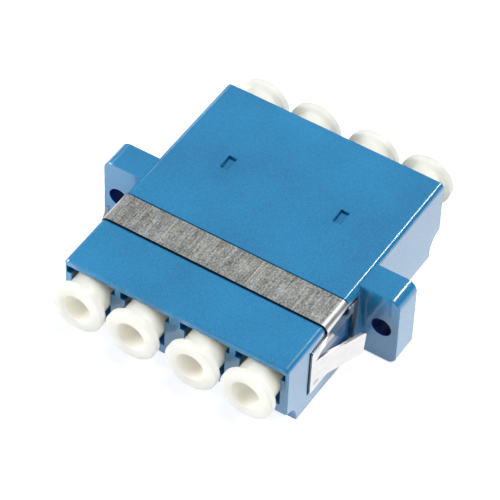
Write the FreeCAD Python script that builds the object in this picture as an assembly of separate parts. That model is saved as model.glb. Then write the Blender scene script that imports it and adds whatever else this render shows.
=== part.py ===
import FreeCAD, Part
import math
import os

# Four-port LC fibre adapter in the duplex SC panel footprint, in millimetres.
# x runs across the four ports, y runs along the fibres from the front ports to
# the rear ports, and z points up. The origin is the centre of the bottom face.

Vector = FreeCAD.Vector

# How far a cut runs past the face it opens, and how close counts as the same place
over = 1.0
near = 0.01

# Moulded body
body_length = 29.2
body_height = 9.1
side_edge_radius = 0.55
end_edge_chamfer = 0.18

# Hollow under each mating face, where a finger reaches the plug's lever
cove_radius = 1.95
cove_foot = 0.65

# Panel flange: one ear on each side, about halfway along the body
ear_reach = 4.4
flange_thickness = 3.4
flange_centre = 0.17
flange_drop = 0.13
flange_top_radius = 1.15
flange_foot_radius = 0.9
flange_edge_chamfer = 0.12
screw_inset = 1.825
screw_hole_diameter = 2.2

# Ports: two pairs at each end, and the walls between and beside them
port_size = 4.6
port_wall = 1.65
pair_wall = 2.25
side_wall = 0.8
port_top_wall = 0.75
relief_side = 0.5
relief_height = 0.95
relief_depth = 3.0

# Latch room under each port, with the ledge that the plug's latch catches
latch_slot_width = 3.3
latch_slot_floor = 1.0
latch_slot_length = 8.6
catch_ledge = 2.3
catch_pocket_height = 1.75
catch_pocket_length = 3.4

# Ceramic split sleeve between each pair of ferrules
sleeve_outer = 1.62
sleeve_inner = 1.249
sleeve_length = 6.8
sleeve_slot = 0.3
sleeve_radial_play = 0.08
sleeve_end_play = 0.1

# Barrels that hold the sleeves, and the wall and plate that carry them
barrel_diameter = 2.8
barrel_lip = 0.5
barrel_lip_bore = 1.45
barrel_lead_in = 0.15
middle_wall = 1.3
holder_plate = 1.3

# Fit of the rear sleeve holders in the body
holder_clearance = 0.05
holder_end_gap = 0.1
seat_clearance = 0.02

# Snap window of each holder, through the top wall
window_width = 1.0
window_length = 1.85
window_centre = 4.97
hook_clearance = 0.1
hook_sink = 0.35
hook_ramp = 0.22
arm_thickness = 0.7
arm_slit = 0.4
arm_slit_length = 5.6

# Spring clip, folded from one strip of steel
strip_thickness = 0.3
band_width = 3.85
band_centre = -5.97
band_sink = 0.03
band_front_gap = 0.38
band_rear_gap = 0.15
bend_radius = 0.85
clip_clearance = 0.02
leg_front = -10.7
leg_rear_top = -2.05
leg_rear_foot = -2.6
leg_neck = 0.3
leg_foot = 7.1
leg_front_lean = 0.15
leg_shoulder_fall = 0.25
leg_corner_radius = 0.25
leg_recess = 0.35
leg_clearance = 0.27
leg_side_gap = 0.2
leg_rear_strip = 0.36

# Tongue cut from each leg, which springs out past the panel and holds it against the ears
tongue_root = -9.5
tongue_tip = -4.2
tongue_top = 3.15
tongue_height = 2.95
tongue_angle = 21.0
tongue_bend_radius = 0.9
tongue_slit = 0.18
tongue_headroom = 0.75
tongue_headroom_run = 0.65
tongue_foot_relief = 0.65
tongue_top_relief = 0.2
tongue_tip_slant = 0.3
tongue_tip_radius = 0.35

# Dust caps, one in each port
cap_flange_diameter = 5.85
cap_flange_thickness = 0.85
cap_stand_off = 1.65
cap_barrel_diameter = 4.4
cap_hole_diameter = 3.15
cap_edge_chamfer = 0.18
cap_web = 1.2
cap_overlap = 1.4
cap_bore_clearance = 0.1
cap_seat_gap = 0.03

# Worked-out sizes and places
port_pitch = port_size + port_wall
pair_pitch = port_pitch + port_size + pair_wall
relief_width = port_size + 2 * relief_side
pair_cavity_width = port_pitch + port_size
body_width = pair_pitch + pair_cavity_width + 2 * side_wall
flange_width = body_width + 2 * ear_reach
screw_pitch = flange_width - 2 * screw_inset
half_width = body_width / 2
half_length = body_length / 2
port_top = body_height - port_top_wall
port_floor = port_top - port_size
port_axis = port_top - port_size / 2
pair_centres = (-pair_pitch / 2, pair_pitch / 2)
port_centres = [pair + side * port_pitch / 2 for pair in pair_centres for side in (-1, 1)]
sleeve_bore = sleeve_outer + 2 * sleeve_radial_play
sleeve_bore_reach = sleeve_length / 2 + sleeve_end_play
barrel_reach = sleeve_bore_reach + barrel_lip
screw_height = body_height / 2
leg_inner = half_width - leg_recess + leg_clearance
leg_outer = leg_inner + strip_thickness
band_top = body_height - band_sink
bend_end = band_top - bend_radius
leg_shoulder = bend_end - leg_neck
leg_bottom = body_height - leg_foot


def box(x0, x1, y0, y1, z0, z1):
    """Box between two opposite corners."""
    return Part.makeBox(x1 - x0, y1 - y0, z1 - z0, Vector(x0, y0, z0))


def rod(x, z, diameter, y0, y1):
    """Round bar along y."""
    return Part.makeCylinder(diameter / 2, y1 - y0, Vector(x, y0, z), Vector(0, 1, 0))


def cone(x, z, diameter_0, diameter_1, y0, y1):
    """Tapered round bar along y."""
    return Part.makeCone(diameter_0 / 2, diameter_1 / 2, y1 - y0, Vector(x, y0, z), Vector(0, 1, 0))


def outline(points):
    """Closed straight-sided face through the points."""
    return Part.Face(Part.makePolygon(points + [points[0]]))


def mirror_x(shape):
    """Same shape on the other side of the body."""
    return shape.mirror(Vector(0, 0, 0), Vector(1, 0, 0))


def mirror_y(shape):
    """Same shape at the other end of the body."""
    return shape.mirror(Vector(0, 0, 0), Vector(0, 1, 0))


def edges_where(shape, test):
    """Edges whose middle and direction pass the test."""
    chosen = []
    for edge in shape.Edges:
        middle = edge.valueAt((edge.FirstParameter + edge.LastParameter) / 2)
        ends = edge.lastVertex().Point - edge.firstVertex().Point
        if test(middle, ends):
            chosen.append(edge)
    return chosen


def body_block():
    """Outer block of the body with a cove under each mating face."""
    face_foot = cove_foot + cove_radius
    cove_back = half_length - cove_radius
    cove_middle = cove_radius * (1 - math.sqrt(0.5))
    front_top = Vector(-half_width, -half_length, body_height)
    rear_top = Vector(-half_width, half_length, body_height)
    rear_lip = Vector(-half_width, half_length, face_foot)
    rear_arc = Vector(-half_width, cove_back + cove_middle, face_foot - cove_middle)
    rear_cove = Vector(-half_width, cove_back, cove_foot)
    rear_foot = Vector(-half_width, cove_back, 0)
    front_foot = Vector(-half_width, -cove_back, 0)
    front_cove = Vector(-half_width, -cove_back, cove_foot)
    front_arc = Vector(-half_width, -cove_back - cove_middle, face_foot - cove_middle)
    front_lip = Vector(-half_width, -half_length, face_foot)
    wire = Part.Wire([
        Part.makeLine(front_top, rear_top),
        Part.makeLine(rear_top, rear_lip),
        Part.Arc(rear_lip, rear_arc, rear_cove).toShape(),
        Part.makeLine(rear_cove, rear_foot),
        Part.makeLine(rear_foot, front_foot),
        Part.makeLine(front_foot, front_cove),
        Part.Arc(front_cove, front_arc, front_lip).toShape(),
        Part.makeLine(front_lip, front_top),
    ])
    block = Part.Face(wire).extrude(Vector(body_width, 0, 0))
    long_edges = edges_where(block, lambda middle, ends: middle.z > body_height - near and abs(ends.y) > near)
    block = block.makeFillet(side_edge_radius, long_edges)
    end_edges = edges_where(block, lambda middle, ends: middle.z > body_height - near and abs(ends.x) > near)
    return block.makeChamfer(end_edge_chamfer, end_edges)


def flange():
    """Both ears as one plate through the body, with the two screw holes."""
    top = body_height - flange_drop
    front = flange_centre - flange_thickness / 2
    rear = flange_centre + flange_thickness / 2
    plate = box(-flange_width / 2, flange_width / 2, front, rear, 0, top)
    top_corners = edges_where(plate, lambda middle, ends: abs(ends.y) > near and middle.z > top / 2)
    plate = plate.makeFillet(flange_top_radius, top_corners)
    foot_corners = edges_where(plate, lambda middle, ends: abs(ends.y) > near and middle.z < near)
    plate = plate.makeFillet(flange_foot_radius, foot_corners)
    rims = edges_where(plate, lambda middle, ends: abs(ends.y) < near and middle.z > near)
    plate = plate.makeChamfer(flange_edge_chamfer, rims)
    for side in (-1, 1):
        hole = rod(side * screw_pitch / 2, screw_height, screw_hole_diameter, front - over, rear + over)
        plate = plate.cut(hole)
    return plate


def front_port_room(x):
    """Room of one front port: square, wider mouth, latch slot and catch pocket."""
    square = box(x - port_size / 2, x + port_size / 2,
                 -half_length - over, -middle_wall, port_floor, port_top)
    relief = box(x - relief_width / 2, x + relief_width / 2,
                 -half_length - over, -half_length + relief_depth, port_top - relief_height, port_top)
    return square.fuse([relief, latch_room(x)])


def latch_room(x):
    """Room for the plug's latch under one front port."""
    slot = box(x - latch_slot_width / 2, x + latch_slot_width / 2,
               -half_length - over, -half_length + latch_slot_length, latch_slot_floor, port_floor + over)
    pocket_front = -half_length + catch_ledge
    pocket_rear = pocket_front + catch_pocket_length
    pocket = box(x - port_size / 2, x + port_size / 2,
                 pocket_front, pocket_rear, port_floor - catch_pocket_height, port_floor + over)
    return slot.fuse(pocket)


def rear_pair_room(x):
    """Room of one rear pair, open across both ports so that the holder slides in."""
    room = box(x - pair_cavity_width / 2, x + pair_cavity_width / 2,
               0, half_length + over, port_floor, port_top)
    mouth_width = port_pitch + relief_width
    mouth = box(x - mouth_width / 2, x + mouth_width / 2,
                half_length - relief_depth, half_length + over, port_top - relief_height, port_top)
    latches = [mirror_y(latch_room(x + side * port_pitch / 2)) for side in (-1, 1)]
    return room.fuse([mouth] + latches)


def barrel(x, root):
    """Front barrel from its root towards the port, still without its bore."""
    return rod(x, port_axis, barrel_diameter, -barrel_reach, root)


def barrel_bore(x, root):
    """Bore of a front barrel: seat of the sleeve, retaining lip and lead-in."""
    seat = rod(x, port_axis, sleeve_bore, -sleeve_bore_reach, root)
    lip = rod(x, port_axis, barrel_lip_bore, -barrel_reach - over, root)
    mouth_diameter = barrel_lip_bore + 2 * barrel_lead_in
    mouth_end = -barrel_reach + barrel_lead_in
    lead_in = cone(x, port_axis, mouth_diameter, barrel_lip_bore, -barrel_reach, mouth_end)
    return seat.fuse([lip, lead_in])


def leg_outline():
    """Outline of one clip leg seen from the side, on the plane x = 0."""
    band_front = band_centre - band_width / 2
    band_rear = band_centre + band_width / 2
    return outline([
        Vector(0, band_front, bend_end),
        Vector(0, band_front, leg_shoulder),
        Vector(0, leg_front + leg_front_lean, leg_shoulder - leg_shoulder_fall),
        Vector(0, leg_front, leg_bottom),
        Vector(0, leg_rear_foot, leg_bottom),
        Vector(0, leg_rear_top, leg_shoulder - leg_shoulder_fall),
        Vector(0, band_rear, leg_shoulder),
        Vector(0, band_rear, bend_end),
    ])


def band_core(y0, y1):
    """What the strip is wrapped round: the body's section just inside the strip."""
    top = band_top - strip_thickness - clip_clearance
    side = leg_inner - clip_clearance
    core = box(-side, side, y0, y1, 0, top)
    corners = edges_where(core, lambda middle, ends: middle.z > top - near and abs(ends.y) > near)
    return core.makeFillet(bend_radius - strip_thickness - clip_clearance, corners)


def clip_room():
    """Groove for the band over the top, and the recess behind each leg."""
    y0 = band_centre - band_width / 2 - band_front_gap
    y1 = band_centre + band_width / 2 + band_rear_gap
    groove = box(-half_width - over, half_width + over, y0, y1, bend_end, body_height + over)
    groove = groove.cut(band_core(y0, y1))
    recess = leg_outline().makeOffset2D(leg_side_gap, join=2).extrude(Vector(leg_recess + over, 0, 0))
    recess.translate(Vector(half_width - leg_recess, 0, 0))
    return groove, recess, mirror_x(recess)


def housing():
    """Moulded body: block, ears, ports, front sleeve barrels, grooves and windows."""
    body = body_block().fuse(flange()).removeSplitter()
    rooms = [front_port_room(x) for x in port_centres]
    rooms += [rear_pair_room(x) for x in pair_centres]
    rooms += clip_room()
    for x in pair_centres:
        rooms.append(box(x - window_width / 2, x + window_width / 2,
                         window_centre - window_length / 2, window_centre + window_length / 2,
                         port_top - over, body_height + over))
    body = body.cut(rooms)
    body = body.fuse([barrel(x, -middle_wall / 2) for x in port_centres])
    body = body.cut([barrel_bore(x, over) for x in port_centres])
    return body.removeSplitter()


def holder_web(x):
    """Partition between the two rear ports, which also carries the snap hook."""
    foot = port_floor + holder_clearance
    top = port_top - holder_clearance
    half_web = (port_pitch - port_size) / 2
    half_lip = (port_pitch - relief_width) / 2
    web = box(x - half_web, x + half_web, holder_plate / 2, half_length - holder_end_gap, foot, top)
    notches = [box(left, left + half_web,
                   half_length - relief_depth, half_length, port_top - relief_height, top)
               for left in (x - half_lip - half_web, x + half_lip)]
    slit_front = window_centre - arm_slit_length / 2
    slit = box(x - half_web, x + half_web, slit_front, slit_front + arm_slit_length,
               top - arm_thickness - arm_slit, top - arm_thickness)
    return web.cut(notches + [slit])


def snap_hook(x):
    """Hook on the web that springs up into the window, sloped on its leading side."""
    foot = port_top - 2 * holder_clearance
    rear_top = body_height - hook_sink
    y0 = window_centre - window_length / 2 + hook_clearance
    y1 = window_centre + window_length / 2 - hook_clearance
    left = x - window_width / 2 + hook_clearance
    face = outline([
        Vector(left, y0, foot),
        Vector(left, y1, foot),
        Vector(left, y1, rear_top),
        Vector(left, y0, rear_top - hook_ramp),
    ])
    return face.extrude(Vector(window_width - 2 * hook_clearance, 0, 0))


def sleeve_holder(pair):
    """Insert of one pair: plate against the middle wall, two rear barrels, web and hook."""
    half_plate = pair_cavity_width / 2 - holder_clearance
    plate = box(pair - half_plate, pair + half_plate, seat_clearance, holder_plate,
                port_floor + holder_clearance, port_top - holder_clearance)
    ports = (pair - port_pitch / 2, pair + port_pitch / 2)
    barrels = [mirror_y(barrel(x, -holder_plate / 2)) for x in ports]
    bores = [mirror_y(barrel_bore(x, over)) for x in ports]
    holder = plate.fuse(barrels + [holder_web(pair), snap_hook(pair)])
    return holder.cut(bores).removeSplitter()


def split_sleeve(x):
    """Slotted ceramic tube that lines up the two ferrules."""
    y0 = -sleeve_length / 2
    y1 = sleeve_length / 2
    tube = rod(x, port_axis, sleeve_outer, y0, y1).cut(rod(x, port_axis, sleeve_inner, y0 - over, y1 + over))
    slot = box(x - sleeve_slot / 2, x + sleeve_slot / 2,
               y0 - over, y1 + over, port_axis - sleeve_outer, port_axis)
    return tube.cut(slot)


def strip_over_body():
    """Band over the top with its two bends, down to the necks of the legs."""
    inner_radius = bend_radius - strip_thickness
    y0 = band_centre - band_width / 2
    band = box(-leg_outer, leg_outer, y0, y0 + band_width, leg_shoulder, band_top)
    outer_edges = edges_where(band, lambda middle, ends: middle.z > band_top - near and abs(ends.y) > near)
    band = band.makeFillet(bend_radius, outer_edges)
    inside = box(-leg_inner, leg_inner, y0 - over, y0 + band_width + over,
                 leg_shoulder - over, band_top - strip_thickness)
    inner_edges = edges_where(inside, lambda middle, ends: middle.z > bend_end and abs(ends.y) > near)
    return band.cut(inside.makeFillet(inner_radius, inner_edges))


def tongue():
    """Tongue of the right leg: bent outwards at its root, straight to its tip."""
    angle = math.radians(tongue_angle)
    centre = Vector(leg_outer + tongue_bend_radius, tongue_root, 0)
    tip_top = tongue_tip + tongue_tip_slant
    blade_end = tip_top + strip_thickness
    reach = (blade_end - tongue_root - tongue_bend_radius * math.sin(angle)) / math.cos(angle)
    along = Vector(math.sin(angle), math.cos(angle), 0) * reach

    def on_bend(radius, turn):
        return centre + Vector(-radius * math.cos(turn), radius * math.sin(turn), 0)

    inside = tongue_bend_radius + strip_thickness
    outside = tongue_bend_radius
    back = Vector(0, -strip_thickness, 0)
    wire = Part.Wire([
        Part.makeLine(on_bend(inside, 0) + back, on_bend(inside, 0)),
        Part.Arc(on_bend(inside, 0), on_bend(inside, angle / 2), on_bend(inside, angle)).toShape(),
        Part.makeLine(on_bend(inside, angle), on_bend(inside, angle) + along),
        Part.makeLine(on_bend(inside, angle) + along, on_bend(outside, angle) + along),
        Part.makeLine(on_bend(outside, angle) + along, on_bend(outside, angle)),
        Part.Arc(on_bend(outside, angle), on_bend(outside, angle / 2), on_bend(outside, 0)).toShape(),
        Part.makeLine(on_bend(outside, 0), on_bend(outside, 0) + back),
        Part.makeLine(on_bend(outside, 0) + back, on_bend(inside, 0) + back),
    ])
    blade = Part.Face(wire).extrude(Vector(0, 0, tongue_height))
    foot = body_height - tongue_top - tongue_height
    blade.translate(Vector(0, 0, foot))
    beyond_tip = outline([
        Vector(0, tongue_tip, foot),
        Vector(0, blade_end + over, foot),
        Vector(0, blade_end + over, foot + tongue_height),
        Vector(0, tip_top, foot + tongue_height),
    ])
    blade = blade.cut(beyond_tip.extrude(Vector(flange_width, 0, 0)))
    tip_edges = edges_where(blade, lambda middle, ends: middle.y > tongue_tip - strip_thickness / 2
                            and abs(ends.z) < near)
    return blade.makeFillet(tongue_tip_radius, tip_edges)


def clip_leg():
    """Right leg: flat plate with the window that its tongue was cut from."""
    plate = leg_outline().extrude(Vector(strip_thickness, 0, 0))
    plate.translate(Vector(leg_inner, 0, 0))
    corner_height = leg_shoulder - leg_shoulder_fall + near
    corners = edges_where(plate, lambda middle, ends: abs(ends.x) > near and middle.z < corner_height)
    plate = plate.makeFillet(leg_corner_radius, corners)
    tongue_edge = body_height - tongue_top
    window_foot = tongue_edge - tongue_height - tongue_slit
    window_top = tongue_edge + tongue_headroom
    lean = (leg_rear_top - leg_rear_foot) / (leg_shoulder - leg_shoulder_fall - leg_bottom)
    window_rear = leg_rear_foot - leg_rear_strip
    behind = leg_inner - over
    window = outline([
        Vector(behind, tongue_root, window_foot),
        Vector(behind, window_rear + lean * (window_foot - leg_bottom), window_foot),
        Vector(behind, window_rear + lean * (window_top - leg_bottom), window_top),
        Vector(behind, tongue_root + tongue_headroom_run, window_top),
        Vector(behind, tongue_root, tongue_edge + tongue_slit),
    ]).extrude(Vector(strip_thickness + 2 * over, 0, 0))
    foot_relief = box(behind, leg_outer + over, tongue_root - tongue_foot_relief, tongue_root + over,
                      window_foot, window_foot + tongue_slit)
    top_relief = box(behind, leg_outer + over, tongue_root - tongue_top_relief, tongue_root + over,
                     tongue_edge, tongue_edge + tongue_slit)
    return plate.cut([window, foot_relief, top_relief])


def spring_clip():
    """Whole clip: band, bends, two legs and two tongues, folded from one strip."""
    sides = [clip_leg(), tongue()]
    sides += [mirror_x(shape) for shape in sides]
    return strip_over_body().fuse(sides).removeSplitter()


def front_dust_cap(x):
    """Dust cap of a front port: hollow plug with a flange to grip it by."""
    outer_face = -half_length - cap_stand_off - cap_flange_thickness
    flange_back = -half_length - cap_stand_off
    inner_end = -barrel_reach + cap_overlap
    seat = -barrel_reach - cap_seat_gap
    disc = rod(x, port_axis, cap_flange_diameter, outer_face, flange_back)
    outer_rim = edges_where(disc, lambda middle, ends: middle.y < outer_face + near)
    disc = disc.makeChamfer(cap_edge_chamfer, outer_rim)
    plug = rod(x, port_axis, cap_barrel_diameter, flange_back - cap_flange_thickness / 2, inner_end)
    bore = rod(x, port_axis, barrel_diameter + 2 * cap_bore_clearance, seat, inner_end + over)
    hole = rod(x, port_axis, cap_hole_diameter, outer_face - over, seat - cap_web)
    return disc.fuse(plug).removeSplitter().cut([bore, hole])


def rear_dust_cap(x):
    """Dust cap of a rear port, the same piece turned round."""
    return mirror_y(front_dust_cap(x))


def write(name, shape):
    """Writes one piece as parts/NAME.step."""
    shape.exportStep(os.path.join("parts", name + ".step"))


os.makedirs("parts", exist_ok=True)
write("housing", housing())
write("spring_clip", spring_clip())
for side, pair in zip(("left", "right"), pair_centres):
    write("sleeve_holder_" + side, sleeve_holder(pair))
for number, x in enumerate(port_centres, start=1):
    write("split_sleeve_" + str(number), split_sleeve(x))
    write("dust_cap_front_" + str(number), front_dust_cap(x))
    write("dust_cap_rear_" + str(number), rear_dust_cap(x))
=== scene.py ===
import math

import bmesh
import bpy
from mathutils import Matrix, Vector


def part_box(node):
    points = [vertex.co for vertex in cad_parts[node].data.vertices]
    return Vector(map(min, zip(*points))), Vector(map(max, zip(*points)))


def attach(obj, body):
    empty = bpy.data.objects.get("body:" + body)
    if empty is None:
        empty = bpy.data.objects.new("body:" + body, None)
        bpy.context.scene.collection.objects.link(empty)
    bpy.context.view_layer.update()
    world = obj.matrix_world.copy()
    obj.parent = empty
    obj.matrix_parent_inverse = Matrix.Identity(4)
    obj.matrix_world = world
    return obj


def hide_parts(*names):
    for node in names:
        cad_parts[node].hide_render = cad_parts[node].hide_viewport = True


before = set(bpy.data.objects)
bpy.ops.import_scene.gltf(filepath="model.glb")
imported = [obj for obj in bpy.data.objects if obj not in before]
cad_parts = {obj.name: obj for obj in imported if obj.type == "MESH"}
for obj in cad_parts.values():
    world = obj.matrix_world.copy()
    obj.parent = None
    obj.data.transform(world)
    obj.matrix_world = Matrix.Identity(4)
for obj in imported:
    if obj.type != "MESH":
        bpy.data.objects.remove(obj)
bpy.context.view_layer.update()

# Camera: a long lens above the front right corner, looking down at the top of the adapter.
# It is turned slightly about its own line of sight.
camera_place = Vector((0.10164651, -0.17040806, 0.22458154))
camera_target = Vector((-0.00060359, -0.00014646, 0.00455))
camera_roll = math.radians(2.1562)
camera_data = bpy.data.cameras.new("camera")
camera_data.lens = 216
camera_data.sensor_width = 36
camera_data.clip_start = 0.01
camera = bpy.data.objects.new("camera", camera_data)
bpy.context.scene.collection.objects.link(camera)


def facing(place, target, turn):
    """The placing of a camera or lamp that looks at a target, turned about its line of sight."""
    line_of_sight = (target - place).to_track_quat("-Z", "Y").to_matrix().to_4x4()
    return Matrix.Translation(place) @ line_of_sight @ Matrix.Rotation(turn, 4, "Z")


camera.matrix_world = facing(camera_place, camera_target, camera_roll)
bpy.context.scene.camera = camera

# Studio table: one wide pale sheet that the adapter rests on. It keeps the adapter's soft
# shadow, looks white to the camera and in glossy surfaces, and fades to pure white far away.
table_half_width = 1.5
table_mesh = bpy.data.meshes.new("studio_table")
table_shape = bmesh.new()
bmesh.ops.create_grid(table_shape, x_segments=1, y_segments=1, size=table_half_width)
table_shape.to_mesh(table_mesh)
table_shape.free()
studio_table = bpy.data.objects.new("studio_table", table_mesh)
bpy.context.scene.collection.objects.link(studio_table)


def new_material(name):
    """A new material with its nodes, its links and its surface shader."""
    material = bpy.data.materials.new(name)
    material.use_nodes = True
    tree = material.node_tree
    return material, tree.nodes, tree.links, tree.nodes["Principled BSDF"]


def set_inputs(node, values):
    """Fixed values for the inputs of a node, by their names."""
    for name, value in values.items():
        node.inputs[name].default_value = value


def remap(value, low, high, new_low, new_high):
    """A value moved from one range to another, and held inside it."""
    range_node = nodes.new("ShaderNodeMapRange")
    set_inputs(range_node, {"From Min": low, "From Max": high})
    set_inputs(range_node, {"To Min": new_low, "To Max": new_high})
    links.new(value, range_node.inputs["Value"])
    return range_node.outputs["Result"]


def combine(operation, first, second):
    """Two values, linked or fixed, joined by one sum."""
    sum_node = nodes.new("ShaderNodeMath")
    sum_node.operation = operation
    for socket, value in zip(sum_node.inputs, (first, second)):
        if isinstance(value, (int, float)):
            socket.default_value = value
        else:
            links.new(value, socket)
    return sum_node.outputs[0]


white_table, nodes, links, table_paint = new_material("white_table")
set_inputs(table_paint, {
    "Base Color": (0.8, 0.8, 0.8, 1), "Roughness": 0.9, "Specular IOR Level": 0.1,
    "Emission Color": (1, 1, 1, 1),
})
seen = nodes.new("ShaderNodeLightPath")
where = nodes.new("ShaderNodeTexCoord")
from_adapter = nodes.new("ShaderNodeVectorMath")
from_adapter.operation = "LENGTH"
links.new(where.outputs["Object"], from_adapter.inputs[0])
whiteness = remap(from_adapter.outputs["Value"], 0.08, 0.6, 0.68, 1.0)
seen_as_white = combine("MAXIMUM", seen.outputs["Is Camera Ray"], seen.outputs["Is Glossy Ray"])
lift = combine("MULTIPLY", seen_as_white, whiteness)
links.new(lift, table_paint.inputs["Emission Strength"])
table_mesh.materials.append(white_table)

# Room light: a dim even surround, a main lamp high on the right and a low fill at the front
# left. The steel band mirrors a wide dim screen at the back, and the small lamps on each
# side of it draw the bright lines along the rounded edges.
room = bpy.data.worlds.new("room")
bpy.context.scene.world = room
room.use_nodes = True
nodes, links = room.node_tree.nodes, room.node_tree.links
surround = nodes["Background"]
surround.inputs["Color"].default_value = (1, 1, 1, 1)
seen = nodes.new("ShaderNodeLightPath")
brightness = remap(seen.outputs["Is Camera Ray"], 0, 1, 0.1, 1.0)
links.new(brightness, surround.inputs["Strength"])


def soft_lamp(name, place, width, height, watts, turn=0):
    """A rectangular lamp that hangs at a place, turned in its own plane, facing the adapter."""
    lamp_data = bpy.data.lights.new(name, "AREA")
    lamp_data.shape = "RECTANGLE"
    lamp_data.size = width
    lamp_data.size_y = height
    lamp_data.energy = watts
    lamp = bpy.data.objects.new(name, lamp_data)
    bpy.context.scene.collection.objects.link(lamp)
    lamp.matrix_world = facing(Vector(place), Vector((0, 0, 0)), math.radians(turn))


soft_lamp("main_lamp", (0.33, 0.04, 0.7), 0.4, 0.4, 4.1)
soft_lamp("front_fill", (-0.5, -0.45, 0.2), 0.3, 0.3, 3.5)
soft_lamp("back_screen", (-0.28, 0.46, 0.6), 0.8, 0.6, 0.43)
soft_lamp("edge_lamp", (0.17, 0.455, 0.57), 0.16, 0.08, 1.0, 31.5)
soft_lamp("left_edge_lamp", (-0.52, 0.5, 0.4), 0.08, 0.08, 0.2)

# Moulded body: one piece of blue glass-filled plastic, injection moulded with its ears, port
# walls and front barrels. The steel mould leaves a satin skin with a very fine grain. Shade is
# painted into the colour inside the screw holes and the ports, as a deeper blue.
screw_hole_x = 0.01535
screw_hole_z = 0.00455
screw_hole_wall = (0.00112, 0.00116)
outer_port_wall = (0.01262, 0.01267)
port_mouth = (0.0143, 0.01445)
port_ceiling = (0.00838, 0.00842)
pale_blue = (0.008, 0.27, 0.56, 1)
mid_blue = (0.002, 0.175, 0.395, 1)
# Painted shade: this deep blue stands in for the shade inside the screw holes and the ports.
painted_shade_blue = (0.002, 0.045, 0.25, 1)
port_painted_shade_strength = 0.5


def read_place(where):
    """The x, y and z of a point in the object's own coordinates."""
    place = nodes.new("ShaderNodeSeparateXYZ")
    links.new(where.outputs["Object"], place.inputs["Vector"])
    return place.outputs["X"], place.outputs["Y"], place.outputs["Z"]


def size_of(value):
    """A value without its sign."""
    return combine("ABSOLUTE", value, 0)


def noise_on(coordinates, scale, detail):
    """Noise stretched by three scales, from the object's own coordinates."""
    stretched = nodes.new("ShaderNodeMapping")
    stretched.inputs["Scale"].default_value = scale
    noise = nodes.new("ShaderNodeTexNoise")
    set_inputs(noise, {"Scale": 1.0, "Detail": detail})
    links.new(coordinates, stretched.inputs["Vector"])
    links.new(stretched.outputs["Vector"], noise.inputs["Vector"])
    return noise.outputs["Fac"]


def plain_noise(coordinates, scale):
    """Noise of one scale in all directions."""
    noise = nodes.new("ShaderNodeTexNoise")
    noise.inputs["Scale"].default_value = scale
    links.new(coordinates, noise.inputs["Vector"])
    return noise.outputs["Fac"]


def radius_from(x_place, z_place, x_centre, z_centre):
    """Distance from an axis that runs along the fibres."""
    across = combine("POWER", size_of(combine("SUBTRACT", x_place, x_centre)), 2)
    upright = combine("POWER", size_of(combine("SUBTRACT", z_place, z_centre)), 2)
    return combine("SQRT", combine("ADD", across, upright), 0)


def colour_range(value, low, low_colour, high, high_colour):
    """A colour that turns from one into another while a value goes from low to high."""
    ramp_node = nodes.new("ShaderNodeValToRGB")
    first, last = ramp_node.color_ramp.elements
    first.position, first.color = low, low_colour
    last.position, last.color = high, high_colour
    links.new(value, ramp_node.inputs["Fac"])
    return ramp_node.outputs["Color"]


def mix_colours(share, first, second, blend="MIX"):
    """Two colours mixed by the share of the second, which is linked or fixed."""
    mix = nodes.new("ShaderNodeMix")
    mix.data_type = "RGBA"
    mix.blend_type = blend
    links.new(share, mix.inputs["Factor"])
    links.new(first, mix.inputs["A"])
    if isinstance(second, tuple):
        mix.inputs["B"].default_value = second
    else:
        links.new(second, mix.inputs["B"])
    return mix.outputs["Result"]


def raise_surface(shader, height, strength, distance):
    """A fine relief on a surface, from a height; the strength is linked or fixed."""
    relief = nodes.new("ShaderNodeBump")
    relief.inputs["Distance"].default_value = distance
    if isinstance(strength, float):
        relief.inputs["Strength"].default_value = strength
    else:
        links.new(strength, relief.inputs["Strength"])
    links.new(height, relief.inputs["Height"])
    links.new(relief.outputs["Normal"], shader.inputs["Normal"])


def dress(node, material):
    """The material of a CAD node."""
    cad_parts[node].material_slots[0].material = material


moulded_blue, nodes, links, skin = new_material("moulded_blue")
set_inputs(skin, {
    "Roughness": 0.36, "IOR": 1.5, "Specular IOR Level": 0.5,
    "Coat Weight": 1.0, "Coat Roughness": 0.09,
})
where = nodes.new("ShaderNodeTexCoord")
x_place, y_place, z_place = read_place(where)
clouds = noise_on(where.outputs["Object"], (120, 120, 120), 4)
grain = noise_on(where.outputs["Object"], (5800, 5800, 5800), 2)
flecked = combine("ADD", combine("MULTIPLY", clouds, 0.4), combine("MULTIPLY", grain, 0.6))
blue = colour_range(flecked, 0.36, mid_blue, 0.64, pale_blue)
from_middle = size_of(x_place)
from_screw = radius_from(from_middle, z_place, screw_hole_x, screw_hole_z)
# Painted shade: masks for the inside of the screw holes and of the ports, where the deep blue is
# mixed in below.
screw_hole_painted_shade = remap(from_screw, *screw_hole_wall, 1, 0)
between_walls = remap(from_middle, *outer_port_wall, 1, 0)
behind_mouth = remap(size_of(y_place), *port_mouth, 1, 0)
port_painted_shade = combine("MULTIPLY", between_walls, behind_mouth)
port_painted_shade = combine("MULTIPLY", port_painted_shade, remap(z_place, *port_ceiling, 1, 0))
port_painted_shade = combine("MULTIPLY", port_painted_shade, port_painted_shade_strength)
blue = mix_colours(combine("MAXIMUM", screw_hole_painted_shade, port_painted_shade), blue, painted_shade_blue)
links.new(blue, skin.inputs["Base Color"])
raise_surface(skin, grain, 0.2, 0.00003)
dress("housing", moulded_blue)

# Sleeve holders: two plugs of the same blue plastic, pushed in from the rear until their
# hooks snap into the small windows in the top.
for side in ("left", "right"):
    dress("sleeve_holder_" + side, moulded_blue)

# Split sleeves: ground white zirconia tubes, slit along one side so that they grip the two
# ferrules that meet in them.
ground_zirconia, nodes, links, ceramic = new_material("ground_zirconia")
set_inputs(ceramic, {"Base Color": (0.88, 0.87, 0.83, 1), "Roughness": 0.2})
where = nodes.new("ShaderNodeTexCoord")
raise_surface(ceramic, plain_noise(where.outputs["Object"], 3000), 0.1, 0.00001)
for number in range(1, 5):
    dress("split_sleeve_" + str(number), ground_zirconia)
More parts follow.
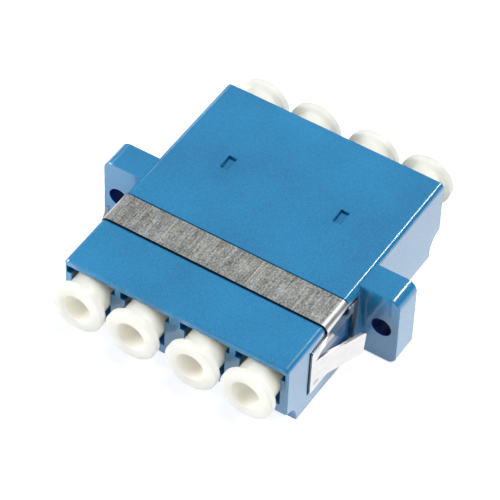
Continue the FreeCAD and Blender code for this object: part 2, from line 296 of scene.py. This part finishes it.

# Spring clip: one strip of stainless spring steel, stamped and folded over the body, with a
# tongue cut and bent out of each leg. The legs and tongues are bright rolled; the band is
# dulled and mottled, with fine scratches along the body, and the sheared edges are rougher.
# The front edges are painted nearly black, partly as dull sheared steel and partly as painted
# shade of the gap in front of them. The rear strip of each leg carries painted shade and a
# painted dark reflection from the corner against the ear.
band_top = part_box("spring_clip")[1][2]
band_skin = (band_top - 0.00006, band_top - 0.00001)
bend_height = (band_top - 0.00065, band_top - 0.00035)
leg_top = (0.0078, 0.0083)
rear_strip_edge = (-0.00305, -0.0028)
edge_on = (0.9, 0.95)
# Painted shade: near black for the rear strip of each leg and, in part, for the front edges.
painted_shade_dark = (0.05, 0.05, 0.055, 1)
stain_tint = (1.0, 0.93, 0.86, 1)

rolled_steel, nodes, links, steel = new_material("rolled_steel")
steel.inputs["Metallic"].default_value = 1.0
where = nodes.new("ShaderNodeTexCoord")
x_place, y_place, z_place = read_place(where)
faces = nodes.new("ShaderNodeSeparateXYZ")
links.new(where.outputs["Normal"], faces.inputs["Vector"])
on_band = remap(z_place, *band_skin, 0, 1)
on_bend = remap(z_place, *bend_height, 0, 1)
faces_up = remap(size_of(faces.outputs["Z"]), *edge_on, 0, 1)
faces_lengthways = remap(size_of(faces.outputs["Y"]), *edge_on, 0, 1)
off_band = remap(on_band, 0, 1, 1, 0)
sheared = combine("MAXIMUM", faces_lengthways, combine("MULTIPLY", faces_up, off_band))
# The front edges are darkened: partly their dull sheared face, partly painted shade of the gap
# in front of them.
faces_front = remap(faces.outputs["Y"], -0.95, -0.9, 1, 0)
front_edge_and_painted_shade = combine("MULTIPLY", faces_front, remap(z_place, *leg_top, 0.25, 1))
# Painted shade: the rear strip of each leg, in the corner against the ear, is darkened to stand
# in for shade and a dark reflection.
behind_tongue = remap(y_place, *rear_strip_edge, 0, 0.75)
rear_strip_painted_shade = combine("MULTIPLY", behind_tongue, remap(z_place, *leg_top, 1, 0))

speckle = noise_on(where.outputs["Object"], (6200, 4200, 6200), 3)
blotches = noise_on(where.outputs["Object"], (1100, 600, 1100), 2)
scratches = noise_on(where.outputs["Object"], (7500, 260, 7500), 2)
scores = remap(noise_on(where.outputs["Object"], (6400, 60, 6400), 1), 0.70, 0.76, 0, 0.3)
stain = remap(noise_on(where.outputs["Object"], (1500, 300, 1500), 2), 0.5, 0.68, 0, 0.8)
mottle = combine("ADD", combine("MULTIPLY", speckle, 0.45), combine("MULTIPLY", blotches, 0.2))
mottle = combine("ADD", mottle, combine("MULTIPLY", scratches, 0.35))
mottle = combine("ADD", mottle, scores)

dull = colour_range(mottle, 0.36, (0.17, 0.173, 0.168, 1), 0.64, (0.92, 0.96, 0.94, 1))
bright = colour_range(blotches, 0.3, (0.62, 0.61, 0.605, 1), 0.7, (0.68, 0.67, 0.66, 1))
stained = mix_colours(stain, dull, stain_tint, "MULTIPLY")
tone = mix_colours(on_band, bright, stained)
tone = mix_colours(combine("MAXIMUM", front_edge_and_painted_shade, rear_strip_painted_shade), tone, painted_shade_dark)
links.new(tone, steel.inputs["Base Color"])
gloss_on_legs = remap(blotches, 0.3, 0.7, 0.08, 0.13)
gloss_on_band = combine("MULTIPLY", on_band, remap(mottle, 0.3, 0.7, 0.22, 0.36))
gloss = combine("ADD", gloss_on_legs, gloss_on_band)
gloss = combine("ADD", gloss, combine("MULTIPLY", sheared, 0.2))
below_band = combine("SUBTRACT", on_bend, on_band)
gloss = combine("ADD", gloss, combine("MULTIPLY", below_band, 0.3))
links.new(gloss, steel.inputs["Roughness"])
relief_strength = combine("ADD", combine("MULTIPLY", on_band, 0.4), 0.02)
raise_surface(steel, mottle, relief_strength, 0.00002)
dress("spring_clip", rolled_steel)

# Dust caps: soft milky plugs, moulded in polyethylene and pulled out by their round flange.
# Each is one turned shape with a hollow at both ends, the inner one slipping over a barrel.
# The thin stems carry painted shade: a greyer tint than the flanges, most of all at the front.
# The hollows carry painted light: a paler, warmer colour for light shining through the thin
# walls.
pair_x = 0.00655
port_from_pair_x = 0.003125
port_z = 0.00605
hollow_wall = (0.0016, 0.00168)
front_flange_back = (-0.01624, -0.01614)
# Painted shade: the greyer tint of the stems.
stem_painted_shade_tint = (0.92, 0.925, 0.89, 1)
# Painted light: the paler, warmer colour of the hollows.
hollow_painted_glow = (1.0, 0.985, 0.93, 1)

milky_plastic, nodes, links, milk = new_material("milky_plastic")
milk.subsurface_method = "BURLEY"
set_inputs(milk, {
    "Roughness": 0.3, "Subsurface Weight": 1.0, "Subsurface Radius": (1.0, 0.95, 0.78),
    "Subsurface Scale": 0.002,
})
where = nodes.new("ShaderNodeTexCoord")
x_place, y_place, z_place = read_place(where)
clouding = plain_noise(where.outputs["Object"], 260)
milky = colour_range(clouding, 0.3, (0.83, 0.825, 0.785, 1), 0.7, (0.88, 0.875, 0.845, 1))
# Painted shade: the stems behind the front flanges are tinted greyer; the rear caps get a slight
# tint all over.
stem_painted_shade = combine("MULTIPLY", remap(y_place, *front_flange_back, 0, 1),
                        remap(y_place, -0.001, 0.001, 1, 0.15))
milky = mix_colours(stem_painted_shade, milky, stem_painted_shade_tint, "MULTIPLY")
# Painted light: inside the hollows the colour turns paler and warmer, standing in for light
# shining through the thin walls.
from_pair = size_of(combine("SUBTRACT", size_of(x_place), pair_x))
from_axis = radius_from(from_pair, z_place, port_from_pair_x, port_z)
milky = mix_colours(remap(from_axis, *hollow_wall, 1, 0), milky, hollow_painted_glow)
links.new(milky, milk.inputs["Base Color"])
raise_surface(milk, plain_noise(where.outputs["Object"], 1400), 0.2, 0.00004)

cap_flange_thickness = 0.00085
cap_stem_radius = 0.0022
cap_hole_radius = 0.001575
cap_bore_radius = 0.0015
cap_hole_depth = 0.01187
cap_bore_depth = 0.00143
cap_rounding = (
    ("flange", 0, 0.00018), ("flange", cap_flange_thickness, 0.00014),
    ("hole", 0, 0.0001), ("stem", cap_flange_thickness, 0.00014),
)
cap_steps_round = 64
smooth_below = math.radians(35)
same_point = 1e-7
close_by = 1e-6


def soft_cap(name, node, outwards):
    """A dust cap turned about its port's axis, in the place of the node of the same cap."""
    low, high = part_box(node)
    axis_x = (low[0] + high[0]) / 2
    axis_z = (low[2] + high[2]) / 2
    face_y = low[1] if outwards < 0 else high[1]
    inner_end = high[1] - low[1]
    bore_end = inner_end - cap_bore_depth
    flange_radius = (high[0] - low[0]) / 2
    radius = {"flange": flange_radius, "hole": cap_hole_radius, "stem": cap_stem_radius}
    section = [
        (0, cap_hole_depth), (cap_hole_radius, cap_hole_depth), (cap_hole_radius, 0),
        (flange_radius, 0), (flange_radius, cap_flange_thickness),
        (cap_stem_radius, cap_flange_thickness), (cap_stem_radius, inner_end),
        (cap_bore_radius, inner_end), (cap_bore_radius, bore_end), (0, bore_end),
    ]
    shape = bmesh.new()
    corners = [shape.verts.new((axis_x + r, face_y - outwards * depth, axis_z))
               for r, depth in section]
    outline = [shape.edges.new(pair) for pair in zip(corners, corners[1:])]
    bmesh.ops.spin(shape, geom=corners + outline, cent=(axis_x, 0, axis_z), axis=(0, 1, 0),
                   angle=math.tau, steps=cap_steps_round, use_merge=True)
    bmesh.ops.remove_doubles(shape, verts=shape.verts, dist=same_point)
    bmesh.ops.recalc_face_normals(shape, faces=shape.faces)

    def on_edge(vert, part, depth):
        """Whether a point lies on the sharp edge of a part of the cap."""
        from_axis = math.hypot(vert.co.x - axis_x, vert.co.z - axis_z)
        from_depth = abs(vert.co.y - face_y + outwards * depth)
        return abs(from_axis - radius[part]) < close_by and from_depth < close_by

    for part, depth, rounding in cap_rounding:
        ring = [edge for edge in shape.edges
                if all(on_edge(vert, part, depth) for vert in edge.verts)]
        bmesh.ops.bevel(shape, geom=ring, offset=rounding, offset_type="OFFSET", affect="EDGES",
                        segments=4, profile=0.5, material=-1)
    for face in shape.faces:
        face.smooth = True
    mesh = bpy.data.meshes.new(name)
    shape.to_mesh(mesh)
    shape.free()
    mesh.set_sharp_from_angle(angle=smooth_below)
    mesh.materials.append(milky_plastic)
    cap = bpy.data.objects.new(name, mesh)
    bpy.context.scene.collection.objects.link(cap)
    return cap


for end, outwards in (("front", -1), ("rear", 1)):
    for number in range(1, 5):
        node = "dust_cap_" + end + "_" + str(number)
        cap = soft_cap("soft_cap_" + end + "_" + str(number), node, outwards)
        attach(cap, end + "_cap_" + str(number))
        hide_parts(node)

bpy.context.scene.view_settings.view_transform = "Standard"
